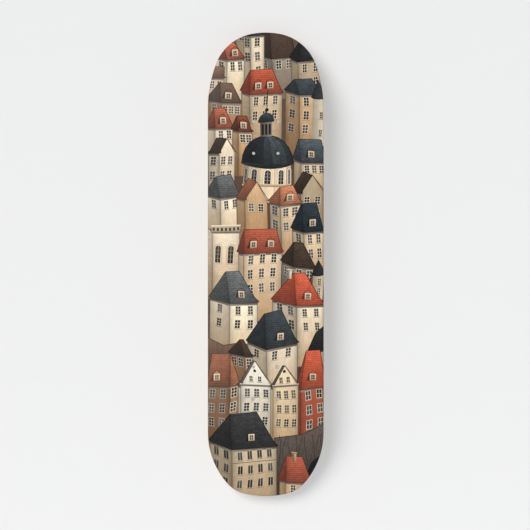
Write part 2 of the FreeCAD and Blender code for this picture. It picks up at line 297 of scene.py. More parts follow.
def stroke(start, finish, width, tint):
    """A straight brush line, unless its ends meet."""
    run = math.hypot(finish[0] - start[0], finish[1] - start[1])
    if run < LEAST_STROKE:
        return
    side_x = (start[1] - finish[1]) / run * width / 2
    side_z = (finish[0] - start[0]) / run * width / 2
    corners = [(start[0] - side_x, start[1] - side_z), (finish[0] - side_x, finish[1] - side_z),
               (finish[0] + side_x, finish[1] + side_z), (start[0] + side_x, start[1] + side_z)]
    paint(corners, "trim", tint)


def lines(points, width, tint):
    """Brush lines from point to point."""
    for start, finish in zip(points, points[1:]):
        stroke(start, finish, width, tint)


def shift(point, way, share=1.0, rise=0.0):
    """The point moved a share of the way along a vector, and up."""
    return (point[0] + way[0] * share, point[1] + way[1] * share + rise)


def face(corner, run, height, light):
    """A wall's plane: its near foot, the vector along its foot, its height and how lit it is."""
    return {"corner": corner, "run": run, "height": height, "light": light}


def spot(wall, along, up):
    """The picture point at a share of the wall's length and a height in millimetres."""
    return shift(wall["corner"], wall["run"], along, up)


def panel(wall, first, last, base, top):
    """A parallelogram on a wall, between two shares of its length and two heights."""
    return [spot(wall, along, up) for along, up in rectangle(first, last, base, top)]


def window(wall, along, up, width=9.0, height=15.5, grid=(2, 3), frame_tint=IVORY):
    """A sash window centred at a share of the wall, with dark panes between pale bars."""
    length = abs(wall["run"][0])
    light = wall["light"]
    bar = GLAZING_BAR
    left = along - width / 2 / length
    paint(panel(wall, left, left + width / length, up, up + height), "trim", tone(frame_tint, light))
    columns, rows = grid
    pane_width = (width - bar * (columns + 1)) / columns
    pane_height = (height - bar * (rows + 1)) / rows
    glass = tone(GLASS, hand.uniform(0.7, 1.7))
    for column in range(columns):
        first = left + (bar + column * (pane_width + bar)) / length
        for row in range(rows):
            foot = up + bar + row * (pane_height + bar)
            pane = panel(wall, first, first + pane_width / length, foot, foot + pane_height)
            paint(pane, "glass", glass, tone(glass, 1.5))
    sill_start = spot(wall, left - SILL_REACH / length, up - SILL_DROP)
    sill_end = spot(wall, left + (width + SILL_REACH) / length, up - SILL_DROP)
    stroke(sill_start, sill_end, SILL_WIDTH, tone(frame_tint, 0.6 * light))


def window_rows(wall, columns, storeys, frame_tint, grid):
    """Evenly spaced windows, in as many storeys, on the upper part of a wall."""
    width, height = hand.uniform(8.0, 10.0), hand.uniform(13.5, 17.0)
    for storey in range(storeys):
        up = wall["height"] - STOREY * (storey + 1) + WINDOW_RISE
        for column in range(columns):
            along = WALL_MARGIN + (1 - 2 * WALL_MARGIN) * (column + 0.5) / columns
            window(wall, along, up, width, height, grid, frame_tint)


def ellipse(x, z, radius_x, radius_z, first=0.0, last=360.0, steps=16):
    """Points round an ellipse, or a stretch of one, by angle in degrees."""
    angles = [math.radians(first + (last - first) * step / steps) for step in range(steps + 1)]
    return [(x + radius_x * math.cos(angle), z + radius_z * math.sin(angle)) for angle in angles]


def arch(x, z, width, height):
    """The outline of a round-headed opening."""
    radius = width / 2
    return [(x - radius, z), (x + radius, z)] + ellipse(x, z + height - radius, radius, radius, 0, 180, 8)


def arched_window(x, z, width, height, frame_tint=IVORY):
    """A round-headed window with a moulded surround and glazing bars."""
    moulding = 4.0
    surround = arch(x, z - 1.5, width + moulding, height + moulding)
    paint(surround, "trim", frame_tint)
    lines(surround + surround[:1], 0.6, tone(frame_tint, 0.6))
    wash(arch(x, z, width, height), "glass", GLASS, 1.0, 1.6)
    stroke((x, z), (x, z + height), 0.9, tone(frame_tint, 0.7))
    for share in (0.25, 0.5, 0.72):
        level = z + height * share
        stroke((x - width / 2, level), (x + width / 2, level), 0.7, tone(frame_tint, 0.65))


def dormer(x, z, cover, front=CREAM, size=10.5):
    """A small gabled window on a roof, standing on z."""
    half = size / 2
    shade = [(x - size, z), (x - half, z), (x - half, z + size), (x - half - 1, z + size * 1.4)]
    wash(shade, "plaster", cover, 0.4, 0.55)
    eave = z + size * 1.1
    front_wall = face((x - half, z), (size, 0.0), size * 1.1, 1.0)
    wash(panel(front_wall, 0, 1, 0, front_wall["height"]), "plaster", front, 0.8, 1.0)
    window(front_wall, 0.5, 1.2, size * 0.66, size * 0.82, (2, 2), tone(front, 0.9))
    gable = [(x - half - 1.5, eave), (x + half + 1.5, eave), (x, z + size * 1.6)]
    wash(gable, "tiles", cover, 0.9, 1.15)
    lines([gable[0], gable[2], gable[1]], LINE_WIDTH, tone(cover, 0.45))


def chimney(x, z, width=7.0, height=16.0, tint=CREAM):
    """A chimney stack with a shaded side and a cap."""
    half = width / 2
    top = z + height
    wash(rectangle(x - half, x, z, top), "plaster", tint, 0.5, 0.65)
    wash(rectangle(x, x + half, z, top), "plaster", tint, 0.75, 1.0)
    stroke((x - half - 1, top), (x + half + 1, top), 2.2, tone(tint, 0.9))
    stroke((x - half - 1, top - 1.6), (x + half + 1, top - 1.6), 0.8, tone(tint, 0.4))


def draw_wall(wall, tint, surface="plaster", gable=None):
    """A wall in its own light, darker at its foot, with a gable where it has one."""
    points = panel(wall, 0, 1, 0, wall["height"])
    if gable:
        points.insert(3, gable)
    foot = tone(warm(tint), wall["light"] * FOOT_SHADE)
    paint(points, surface, foot, tone(tint, wall["light"] * HEAD_LIGHT), sides=SIDE_SHADE)
    lines(points + points[:1], LINE_WIDTH, tone(tint, LINE_SHADE))


def draw_eave(wall, cover):
    """The shadow that a roof's foot casts on the wall, and the gutter line."""
    top = wall["height"]
    shadow = panel(wall, 0, 1, top - EAVE_SHADOW, top)
    paint(shadow, "plaster", tone(STONE, 1.25 * wall["light"]), tone(BROWN, 0.7))
    stroke(spot(wall, -0.02, top), spot(wall, 1.02, top), GUTTER_WIDTH, tone(cover, LINE_SHADE))


def overhang(run):
    """How far the eaves reach past the end of a wall, as a share of the wall."""
    length = math.hypot(*run)
    return OVERHANG / length if length > 0 else 0.0


def bell_cast(eave, ridge):
    """The place near the eave where a roof's pitch changes."""
    return tuple(low * (1 - BELL_CAST) + high * BELL_CAST for low, high in zip(eave, ridge))


def draw_roof(near, run, depth, rise, hip, cover, surface):
    """A ridged roof over a rectangle: its long slope, and its hipped end where it has one."""
    ridge_near = shift(shift(near, depth, 0.5), run, hip, rise)
    ridge_far = shift(shift(near, depth, 0.5), run, 1 - hip, rise)
    foot_near = shift(near, run, -overhang(run)) if hip == 0 else near
    foot_far = shift(near, run, 1 + overhang(run))
    bend_near = bell_cast(near, ridge_near)
    bend_far = bell_cast(shift(near, run), ridge_far)
    slope = [foot_near, foot_far, bend_far, ridge_far, ridge_near, bend_near]
    end = [near, shift(near, depth, 1 + overhang(depth)), ridge_near]
    slope_light, end_light = (1.0, LEFT_SHADE) if run[0] > 0 else (LEFT_SHADE, 1.0)
    if hip > 0:
        wash(end, surface, cover, *(share * end_light for share in HIP_SHADES), sides=SIDE_SHADE)
    wash(slope, surface, cover, *(share * slope_light for share in SLOPE_SHADES), sides=SIDE_SHADE)
    lines([foot_near, bend_near, ridge_near, ridge_far], 1.0, tone(cover, RIDGE_SHADE))
    lines([foot_far, bend_far, ridge_far], 1.2, tone(cover, ARRIS_SHADE))
    lines([end[1], ridge_near], 1.2, tone(cover, ARRIS_SHADE))


def house(x, foot, left, right, height, rise, tint, cover, surface="tiles", ridge="right", hip=0.0,
          lean=(0.16, 0.05), panes=((1, 1), (3, 2)), dormers=(), frame_tint=IVORY, stack=None,
          walls="plaster", grid=(2, 3)):
    """A house seen at its near corner: a left wall in shade and a right wall in light.

    x and foot place the corner, left and right are the widths of the walls, height is up to the
    eaves and rise is the roof's. lean is how steeply the foot of each wall climbs away from the
    corner. The walls run on down behind the next row. The ridge runs along the right wall or the
    left wall, and a hip of 0 makes a gable. panes holds the columns and storeys of windows on the
    left and on the right wall, and dormers and stack are places along the ridge, as shares of it.
    surface and walls name the brushwork of the roof and of the walls.
    """
    tint = tone(tint, hand.uniform(0.95, 1.05))
    cover = tone(cover, hand.uniform(0.9, 1.1))
    corner = (x, foot - FOOTING)
    left_run = (-left, left * lean[0])
    right_run = (right, right * lean[1])
    left_wall = face(corner, left_run, height + FOOTING, LEFT_SHADE)
    right_wall = face(corner, right_run, height + FOOTING, 1.0)
    near = (x, foot + height)
    run, depth = (right_run, left_run) if ridge == "right" else (left_run, right_run)
    apex = shift(near, depth, 0.5, rise)
    gables = {"right": None, "left": None}
    if hip == 0:
        gables["left" if ridge == "right" else "right"] = apex
    for name, wall, count in (("left", left_wall, panes[0]), ("right", right_wall, panes[1])):
        if wall["run"][0] == 0:
            continue
        draw_wall(wall, tint, walls, gables[name])
        if not gables[name]:
            draw_eave(wall, cover)
        window_rows(wall, *count, frame_tint, grid)
    draw_roof(near, run, depth, rise, hip, cover, surface)
    for share in dormers:
        place = shift(shift(near, run, share), depth, 0.1, rise * 0.18)
        dormer(*place, cover)
    if stack is not None:
        place = shift(shift(near, depth, 0.5), run, stack, rise * 0.8)
        chimney(*place, tint=tint)


def turret(x, foot, radius, height, rise, tint, cover):
    """A round turret with a cone roof, lit from the right."""
    top = foot + height
    wash(rectangle(x - radius, x + radius, foot, top), "plaster", tint, 0.66, 1.02, across=True)
    front = face((x - radius, foot), (radius * 2, 0.0), height, 0.95)
    for share in (0.2, 0.56):
        window(front, 0.6, height * share, 6.0, 12.0)
    base = ellipse(x, top, radius + 3, 3.5, 180, 360, 10)
    wash(base + [(x, top + rise)], "slates", cover, 0.6, 1.3, across=True)
    lines(base, 1.0, tone(cover, ARRIS_SHADE))


def ground(points, tint, surface="boards"):
    """A bank of earth or rock, or a dark slope, between the houses."""
    wash(points, surface, tint, 0.58, 1.05)
    lines(points + points[:1], 1.2, tone(tint, LINE_SHADE))


def dome_rib(x, foot, radius, rise, turn):
    """One rib of a dome, from its foot nearly to its crown, at a turn from the right."""
    lifts = [math.radians(lift) for lift in range(0, 81, 16)]
    return [(x + radius * math.cos(turn) * math.cos(lift), foot + rise * math.sin(lift)) for lift in lifts]


def draw_dome(x, foot, radius, rise):
    """A ribbed dome: one polygon for each gore, brighter where the light falls."""
    gores = 9
    for gore in range(gores):
        first = math.pi * gore / gores
        last = math.pi * (gore + 1) / gores
        near = dome_rib(x, foot, radius, rise, first)
        far = dome_rib(x, foot, radius, rise, last)
        light = 0.6 + 0.75 * math.sin((first + last) / 2 + 0.5) ** 4
        wash(near + far[::-1], "slates", SLATE, light * 0.66, light * 1.05)
        lines(near, 0.7, tone(SLATE, 0.45))


def draw_cupola(x, foot):
    """A small arcaded drum with a domed cap, and a ball on a rod."""
    half_width = 10
    drum = 24.0
    top = foot + drum
    walls = rectangle(x - half_width, x + half_width, foot, top)
    wash(walls, "plaster", STONE, 0.6, 1.1, across=True)
    for place in (-5.6, 0.4, 6.4):
        paint(arch(x + place, foot + 3, 3.8, drum - 6), "glass", SOOT)
    cap = ellipse(x, top, half_width + 3, 15, 0, 180, 12)
    wash(cap, "slates", SLATE, 0.55, 1.15)
    lines(cap + cap[:1], LINE_WIDTH, SOOT)
    stroke((x, top + 14), (x, top + 52), 1.3, SOOT)
    paint(ellipse(x, top + 20, 3.2, 3.2, steps=8), "trim", SOOT)


def draw_domed_tower(x, foot, half, height):
    """A round tower in five arched bays under a plain ribbed dome and a cupola."""
    bays = 5
    for bay in range(bays):
        first, last = -math.cos(math.pi * bay / bays), -math.cos(math.pi * (bay + 1) / bays)
        light = 0.66 + 0.4 * math.sin(math.pi * (bay + 0.5) / bays - 0.35)
        left, right = x + half * first, x + half * last
        corners = rectangle(left, right, foot, foot + height)
        wash(corners, "plaster", CREAM, light * 0.92, light * 1.06, across=True)
        stroke((right, foot), (right, foot + height), 0.8, tone(TAN, 0.8))
        width = (right - left) * 0.42
        arched_window((left + right) / 2, foot + height - 34, width, 24, tone(IVORY, light))
    for level in (4, 28):
        stroke((x - half - 1, foot + level), (x + half + 1, foot + level), 3.0, tone(SAND, 0.95))
        stroke((x - half - 1, foot + level - 2), (x + half + 1, foot + level - 2), 0.9, BROWN)
    rim = ellipse(x, foot + height, half + 6, 8, 180, 360, 14)
    wash(rim, "slates", SLATE, 0.45, 0.8)
    draw_dome(x, foot + height, half + 5, half * 1.22)
    draw_cupola(x, foot + height + half * 1.16)


def draw_parapet(left, right, z):
    """A pierced parapet along the top of a flat-roofed front."""
    top = z + 11
    spacing = 6.5
    wash(rectangle(left, right, z, top), "trim", BUFF, 0.85, 1.0)
    count = round((right - left) / spacing)
    for index in range(count):
        x = left + (right - left) * (index + 0.5) / count
        paint(rectangle(x - 1.8, x + 1.8, z + 3, z + 8.5), "glass", UMBER)
    stroke((left - 1, z), (right + 1, z), 1.4, tone(STONE, 0.8))
    stroke((left - 1, top), (right + 1, top), 1.6, IVORY)


def draw_far_roofs():
    """The first rows, round the tail: stone towers and dark roofs against each other."""
    paint(rectangle(-105, 105, -8, PICTURE_TOP), "plaster", tone(UMBER, 0.8), tone(BROWN, 0.9))
    house(-10, 760, 40, 10, 30, 20, CREAM, SAND, panes=((2, 1), (0, 0)))
    house(12, 712, 26, 40, 30, 62, tone(STONE, 1.25), UMBER, "boards", hip=0.1, lean=(0.3, 0.2),
          panes=((1, 1), (2, 1)), walls="masonry")
    house(56, 694, 12, 42, 46, 40, BUFF, CHARCOAL, "slates", hip=0.3, lean=(0.5, 0.1),
          panes=((0, 0), (2, 2)), walls="masonry")
    house(-24, 690, 12, 22, 92, 18, IVORY, SLATE, "slates", hip=0.5, lean=(0.2, 0.1),
          panes=((1, 2), (1, 3)))
    house(-66, 696, 22, 30, 48, 26, IVORY, TERRACOTTA, hip=0.16, panes=((1, 1), (2, 1)), dormers=(0.55,))
    house(-98, 676, 0, 26, 34, 20, BUFF, BROWN, panes=((0, 0), (2, 1)))


def draw_upper_town():
    """Scarlet and brown roofs above the domed tower."""
    house(-74, 632, 24, 34, 36, 32, TAN, BROWN, hip=0.2, panes=((1, 1), (3, 1)), dormers=(0.4,))
    house(-28, 616, 14, 54, 68, 38, CREAM, SCARLET, hip=0.14, lean=(0.4, 0.0), panes=((0, 0), (3, 2)),
          dormers=(0.28, 0.66), walls="masonry")
    house(56, 604, 24, 40, 78, 24, tone(SAND, 1.1), SLATE, "slates", hip=0.12, lean=(0.24, 0.08),
          panes=((1, 3), (2, 3)))
    turret(90, 596, 11, 84, 30, IVORY, SLATE)
    house(-86, 590, 14, 32, 34, 32, IVORY, TERRACOTTA, hip=0.2, panes=((0, 0), (2, 1)), dormers=(0.5,))
    house(-46, 584, 10, 24, 36, 26, SAND, RUST, hip=0.15, panes=((0, 0), (2, 1)), dormers=(0.45,))


def draw_dome_quarter():
    """The domed tower among white gables and slate roofs."""
    house(60, 532, 12, 44, 34, 36, CREAM, tone(SLATE, 1.2), "slates", hip=0.08, lean=(0.5, 0.06),
          panes=((0, 0), (3, 1)), dormers=(0.45,))
    draw_domed_tower(2, 500, half=40, height=66)
    house(-80, 528, 18, 26, 54, 24, IVORY, UMBER, ridge="left", lean=(0.1, 0.0), panes=((1, 2), (2, 2)))
    house(-76, 474, 24, 34, 34, 32, IVORY, PEWTER, "slates", hip=0.14, lean=(0.3, 0.08),
          panes=((1, 1), (2, 1)))
    house(58, 470, 16, 40, 44, 30, BUFF, UMBER, "boards", ridge="left", lean=(0.4, 0.0),
          panes=((1, 2), (2, 2)))
    house(-34, 456, 14, 38, 46, 32, SAND, ROSE, ridge="left", lean=(0.4, 0.0), panes=((0, 0), (2, 1)))
    house(26, 452, 18, 34, 44, 28, CREAM, ROSE, hip=0.18, lean=(0.3, 0.1), panes=((1, 2), (2, 2)),
          dormers=(0.5,))


def draw_middle_town():
    """A parapeted hall, a long terrace with dormers and dark roofs to the right."""
    house(66, 402, 20, 34, 48, 44, CREAM, NAVY, "slates", hip=0.14, lean=(0.36, 0.0),
          panes=((1, 2), (2, 2)), dormers=(0.5,))
    house(-92, 376, 8, 46, 76, 2, IVORY, UMBER, lean=(0.3, 0.0), panes=((0, 0), (0, 0)), walls="masonry")
    draw_parapet(-93, -45, 450)
    for x in (-80, -59):
        arched_window(x, 398, 9, 30, CREAM)
    house(-38, 340, 8, 64, 74, 38, CREAM, BRICK, hip=0.06, lean=(0.3, 0.03),
          panes=((0, 0), (3, 3)), dormers=(0.26, 0.72))
    house(44, 366, 18, 40, 26, 40, tone(STONE, 1.2), UMBER, "slates", hip=0.3, lean=(0.4, -0.1),
          panes=((1, 1), (2, 1)))
    ground([(60, 330), (99, 330), (99, 388), (78, 380)], BROWN)
    turret(88, 336, 9, 44, 24, CREAM, CHARCOAL)


def draw_corner_street():
    """Corner houses: a slate hip to the left and a scarlet one to the right."""
    house(54, 262, 42, 46, 62, 50, IVORY, SCARLET, hip=0.3, lean=(0.24, 0.1),
          panes=((2, 2), (2, 2)), dormers=(0.5,), stack=0.16)
    house(-62, 268, 34, 48, 60, 50, IVORY, PEWTER, "slates", hip=0.26, lean=(0.26, 0.08),
          panes=((1, 2), (2, 2)), dormers=(0.5,))
    ground([(-99, 190), (30, 190), (0, 250), (-40, 262), (-70, 256), (-99, 272)], BROWN)
    house(2, 196, 32, 50, 56, 52, IVORY, tone(SLATE, 0.9), "slates", hip=0.2, lean=(0.4, 0.16),
          panes=((1, 1), (2, 1)), dormers=(0.5,))
    ground([(66, 236), (99, 250), (99, 292), (84, 280)], CHARCOAL, "slates")
    house(-34, 196, 26, 14, 42, 26, TAN, UMBER, hip=0.3, lean=(0.2, 0.1), panes=((2, 1), (1, 1)))


def draw_red_street():
    """Red roofs at both rails with two pale gabled fronts between them."""
    house(-62, 100, 40, 14, 88, 52, TAN, ROSE, ridge="left", hip=0.1, lean=(0.06, 0.2),
          panes=((2, 3), (1, 3)), dormers=(0.6,))
    house(60, 112, 6, 44, 70, 62, BRICK, SCARLET, hip=0.24, lean=(0.4, 0.14), panes=((0, 0), (2, 3)),
          dormers=(0.5,), grid=(2, 2))
    for x, right, tint in ((-44, 54, CHALK), (12, 44, tone(BUFF, 1.16))):
        house(x, 104, 4, right, 84, right * 0.8, tint, STONE, ridge="left", lean=(0.2, 0.02),
              panes=((0, 0), (3, 3)), frame_tint=tint)
        front = face((x, 104), (right, right * 0.02), 84, 1.0)
        stroke(spot(front, -0.03, 85), spot(front, 1.03, 85), 3.2, tone(STONE, 0.9))
        stroke(spot(front, -0.03, 87), spot(front, 1.03, 87), 1.0, tint)
        for along in (0.34, 0.62):
            window(front, along, 91, 6.5, 10.0, (2, 2), tint)
        paint(ellipse(*spot(front, 0.48, 110), 2.6, 2.6, steps=10), "glass", GLASS)


def draw_rock_wall():
    """A cracked rock wall below the red house."""
    ground([(16, 20), (99, 20), (99, 124), (62, 108), (16, 100)], ROCK)
    for index, x in enumerate(range(24, 98, 9)):
        crack = [(x + 3.5 * math.sin(index * 2.1 + level), 106 - 13 * level) for level in range(5)]
        lines(crack, 0.9, tone(UMBER, 0.7))


def draw_nose_houses():
    """The nearest houses, at the nose."""
    draw_rock_wall()
    ground([(54, 10), (99, 20), (99, 74), (80, 60)], SOOT, "slates")
    house(32, -34, 10, 46, 58, 44, SAND, BRICK, hip=0.2, lean=(0.3, 0.0), panes=((0, 0), (2, 2)), stack=0.5)
    ground([(-99, 60), (-70, 30), (-66, -8), (-99, -8)], CHARCOAL, "plaster")
    house(-58, -14, 38, 78, 96, 52, BUFF, CHARCOAL, "slates", hip=0.22, lean=(0.34, 0.05),
          panes=((2, 3), (4, 3)), dormers=(0.5,), frame_tint=tone(BUFF, 1.08), grid=(2, 1))
    stroke((-58, 58), (20, 62), 1.2, BROWN)


def draw_town():
    """The whole picture, from the far roofs at the tail to the near houses at the nose."""
    draw_far_roofs()
    draw_upper_town()
    draw_dome_quarter()
    draw_middle_town()
    draw_corner_street()
    draw_red_street()
    draw_nose_houses()


# ---------------------------------------------------------------- the film that carries the print

# The print ends at the first ring, on the rounded rail. The other rings and the lattice give the
# mesh the points that it needs to follow the curved surface.
RING_INSETS = (0.35, 0.8, 1.4, 2.2, 3.2, 4.5)
LATTICE_ACROSS = 6.6
LATTICE_ALONG = 7.2
OUTLINE_STEP = 2.9
HOLE_SIDES = 28

# Points closer than the gap are merged, and polygons smaller than the area are left out.
LEAST_GAP = 1e-3
LEAST_AREA = 0.01

# How suddenly a wall or a roof darkens towards its left and right ends.
SIDE_POWER = 5

# A little thinner than the film, so that its back stays clear of the wood.
SKIN_THICKNESS = 0.12
SURFACES = ("plaster", "masonry", "tiles", "slates", "boards", "glass", "trim")


def ring_area(ring):
    """The area inside a ring of points."""
    following = ring[1:] + ring[:1]
    return abs(sum(x * next_z - next_x * z for (x, z), (next_x, next_z) in zip(ring, following))) / 2


def inset(outline, distance):
    """The outline moved inwards, along the mean of each corner's two normals."""
    run = np.roll(outline, -1, axis=0) - outline
    normal = np.stack([-run[:, 1], run[:, 0]], axis=1)
    normal /= np.linalg.norm(normal, axis=1)[:, None]
    mean = normal + np.roll(normal, 1, axis=0)
    mean /= np.linalg.norm(mean, axis=1)[:, None]
    return outline + mean * distance


def bolt_holes():
    """The outline of each of the eight bolt holes."""
    holes = []
    for height in TRUCK_HEIGHTS:
        for x in (-BOLT_ACROSS / 2, BOLT_ACROSS / 2):
            for z in (height - BOLT_ALONG / 2, height + BOLT_ALONG / 2):
                holes.append(ellipse(x, z, HOLE_RADIUS, HOLE_RADIUS, steps=HOLE_SIDES)[:-1])
    return holes


def inside(points, ring):
    """Which points lie inside a ring: those with an odd number of its edges to their right."""
    x, z = points[:, 0], points[:, 1]
    found = np.zeros(len(points), dtype=bool)
    for (start_x, start_z), (end_x, end_z) in zip(ring, np.roll(ring, -1, axis=0)):
        if start_z != end_z:
            edge_x = start_x + (z - start_z) * (end_x - start_x) / (end_z - start_z)
            found ^= ((start_z > z) != (end_z > z)) & (x < edge_x)
    return found


def top_ring(points, rings):
    """The number of the last ring around each point, or -1 where there is none."""
    top = np.full(len(points), -1)
    for number, ring in enumerate(rings):
        boxed = (points > ring.min(axis=0)) & (points < ring.max(axis=0))
        near = np.flatnonzero(boxed.all(axis=1))
        top[near[inside(points[near], ring)]] = number
    return top


def divide_film(outline, shapes):
    """Triangles of the film, cut along every painted edge, and the shape on top in each."""
    edge = inset(outline, RING_INSETS[0])
    holes = [np.array(hole) for hole in bolt_holes()]
    painted = [np.array(shape["points"]) + (0.0, NOSE_TIP) for shape in shapes]
    rings = [inset(outline, distance) for distance in RING_INSETS[1:]]
    uprights = [np.array([(x, NOSE_TIP), (x, TAIL_TIP)])
                for x in np.arange(-HALF_WIDTH, HALF_WIDTH, LATTICE_ACROSS)]
    levels = [np.array([(-HALF_WIDTH, z), (HALF_WIDTH, z)])
              for z in np.arange(NOSE_TIP, TAIL_TIP, LATTICE_ALONG)]
    points, cuts = [], []
    for line in [edge, *holes, *painted, *rings, *uprights, *levels]:
        numbers = list(range(len(points), len(points) + len(line)))
        points.extend(Vector(place) for place in line.tolist())
        cuts.extend(zip(numbers, numbers[1:] + numbers[:1]))
    places, _, triangles, *_ = delaunay_2d_cdt(points, cuts, [], 0, LEAST_GAP, False)
    places = np.array([tuple(place) for place in places])
    triangles = np.array(triangles)
    middles = places[triangles].mean(axis=1)
    kept = inside(middles, edge) & (top_ring(middles, holes) < 0)
    used, renumbered = np.unique(triangles[kept], return_inverse=True)
    return places[used], renumbered.reshape(-1, 3), top_ring(middles[kept], painted)


def linear(colour):
    """Scene-linear values of 0 to 255 display values."""
    share = np.asarray(colour) / 255.0
    return np.where(share <= 0.04045, share / 12.92, ((share + 0.055) / 1.055) ** 2.4)


def spread_over(tops, values):
    """Each triangle's value from the shape on top of it, ready to spread over its corners."""
    return np.array(values)[tops][:, None]


def corner_colours(places, triangles, tops, shapes):
    """The painted colour at each corner of each triangle, as red, green, blue and alpha."""
    low_tones = spread_over(tops, [shape["low"] for shape in shapes])
    high_tones = spread_over(tops, [shape["high"] for shape in shapes])
    sides = spread_over(tops, [shape["sides"] for shape in shapes])
    across = spread_over(tops, [shape["across"] for shape in shapes])
    lowest = spread_over(tops, [np.min(shape["points"], axis=0) for shape in shapes])
    highest = spread_over(tops, [np.max(shape["points"], axis=0) for shape in shapes])
    corners = (places - (0.0, NOSE_TIP))[triangles]
    shares = np.clip((corners - lowest) / (highest - lowest), 0.0, 1.0)
    share = np.where(across, shares[:, :, 0], shares[:, :, 1])[:, :, None]
    sideways = np.abs(2 * shares[:, :, 0] - 1)
    colour = low_tones * (1 - share) + high_tones * share
    colour *= (1 - sides * sideways**SIDE_POWER)[:, :, None]
    return np.concatenate([linear(colour), np.ones(share.shape)], axis=2)


def film_mesh():
    """The faces of the print, each with its brushwork, and the painted colour on each corner."""
    shapes = [shape for shape in picture if ring_area(shape["points"]) > LEAST_AREA]
    outline = deck_outline(OUTLINE_STEP)
    places, triangles, tops = divide_film(outline, shapes)
    depth = print_depth(places, outline)
    vertices = np.stack([places[:, 0], depth, places[:, 1]], axis=1) * MM
    mesh = bpy.data.meshes.new("printed_film")
    mesh.from_pydata(vertices.tolist(), [], triangles.tolist())
    colours = mesh.color_attributes.new("paint", "FLOAT_COLOR", "CORNER")
    colours.data.foreach_set("color", corner_colours(places, triangles, tops, shapes).ravel())
    for surface in SURFACES:
        mesh.materials.append(print_material(surface))
    surfaces = [SURFACES.index(shapes[top]["surface"]) for top in tops]
    mesh.polygons.foreach_set("material_index", surfaces)
    mesh.polygons.foreach_set("use_smooth", [True] * len(triangles))
    mesh.validate()
    return mesh


def make_film():
    """The printed skin, in the place of the CAD film."""
    film = bpy.data.objects.new("printed_film", film_mesh())
    bpy.context.scene.collection.objects.link(film)
    skin = film.modifiers.new("film_thickness", "SOLIDIFY")
    skin.thickness = SKIN_THICKNESS * MM
    skin.offset = -1.0
    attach(film, "root")
    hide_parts("graphic_film")


# ---------------------------------------------------------------- materials

def add_node(tree, kind, **settings):
    """A node with its settings: names of its own properties, or of its input sockets."""
    made = tree.nodes.new(kind)
    for name, value in settings.items():
        if hasattr(made, name):
            setattr(made, name, value)
        else:
            made.inputs[name.replace("_", " ")].default_value = value
    return made


def new_material(name, **shader_settings):
    """A material with a Principled shader whose constants are set on its own sockets."""
    material = bpy.data.materials.new(name)
    material.use_nodes = True
    shader = material.node_tree.nodes["Principled BSDF"]
    for socket, value in shader_settings.items():
        shader.inputs[socket.replace("_", " ")].default_value = value
    return material, material.node_tree, shader


def millimetres(tree, stretch):
    """Across, up and through the deck in millimetres, each divided by its own stretch."""
    coordinates = add_node(tree, "ShaderNodeTexCoord")
    mapping = add_node(tree, "ShaderNodeMapping", vector_type="TEXTURE", Rotation=(math.pi / 2, 0.0, 0.0),
                       Scale=[length * MM for length in stretch])
    tree.links.new(coordinates.outputs["Object"], mapping.inputs["Vector"])
    return mapping.outputs["Vector"]


def mottle(tree, stretch, spread, seed):
    """Noise as a factor around 1, at a size in millimetres across, up and through the deck."""
    noise = add_node(tree, "ShaderNodeTexNoise", noise_dimensions="4D", W=seed, Scale=1.0, Detail=4.0)
    tree.links.new(millimetres(tree, stretch), noise.inputs["Vector"])
    ranged = add_node(tree, "ShaderNodeMapRange", From_Min=0.3, From_Max=0.7,
                      To_Min=1 - spread, To_Max=1 + spread)
    tree.links.new(noise.outputs["Fac"], ranged.inputs["Value"])
    return ranged.outputs["Result"]


def grey(level):
    """An opaque grey."""
    return (level, level, level, 1.0)


def courses(tree, width, height, joint, depth):
    """Courses of tiles or stones as a factor: about 1 on each one, less in its joints."""
    brick = add_node(tree, "ShaderNodeTexBrick", offset=0.5, Scale=1.0, Brick_Width=width,
                     Row_Height=height, Mortar_Size=joint, Mortar_Smooth=0.6,
                     Color1=grey(1.0), Color2=grey(0.86), Mortar=grey(1 - depth))
    tree.links.new(millimetres(tree, (1.0, 1.0, 1.0)), brick.inputs["Vector"])
    return brick.outputs["Color"]


def times(tree, first, second):
    """Two colours or factors multiplied."""
    mix = add_node(tree, "ShaderNodeMix", data_type="RGBA", blend_type="MULTIPLY", Factor=1.0)
    tree.links.new(first, mix.inputs[6])
    tree.links.new(second, mix.inputs[7])
    return mix.outputs[2]


def bump(tree, shader, height, strength, distance):
    """Fine relief from a height, on the shader's normal."""
    relief = add_node(tree, "ShaderNodeBump", Strength=strength, Distance=distance)
    tree.links.new(height, relief.inputs["Height"])
    tree.links.new(relief.outputs["Normal"], shader.inputs["Normal"])


# Each texture's size across, up and through the deck in millimetres, and its strength.
BRUSHWORK = {
    "plaster": (((16.0, 16.0, 16.0), 0.1), ((2.0, 12.0, 2.0), 0.09), ((0.9, 0.9, 0.9), 0.06)),
    "masonry": (((14.0, 14.0, 14.0), 0.06), ((1.2, 1.2, 1.2), 0.05)),
    "tiles": (((12.0, 12.0, 12.0), 0.14), ((7.0, 1.4, 7.0), 0.16), ((1.0, 4.0, 1.0), 0.1)),
    "slates": (((12.0, 12.0, 12.0), 0.2), ((7.0, 1.3, 7.0), 0.28), ((1.2, 5.0, 1.2), 0.16)),
    "boards": (((18.0, 18.0, 18.0), 0.12), ((1.3, 22.0, 1.3), 0.3), ((0.8, 2.5, 0.8), 0.12)),
    "glass": (((3.0, 3.0, 3.0), 0.25),),
    "trim": (((3.0, 3.0, 3.0), 0.06), ((0.9, 0.9, 0.9), 0.05)),
}
# Width, height, joint and the joint's darkness.
COURSES = {
    "masonry": (9.0, 4.4, 0.35, 0.16),
    "tiles": (4.4, 3.5, 0.7, 0.34),
    "slates": (7.0, 3.2, 0.6, 0.42),
}


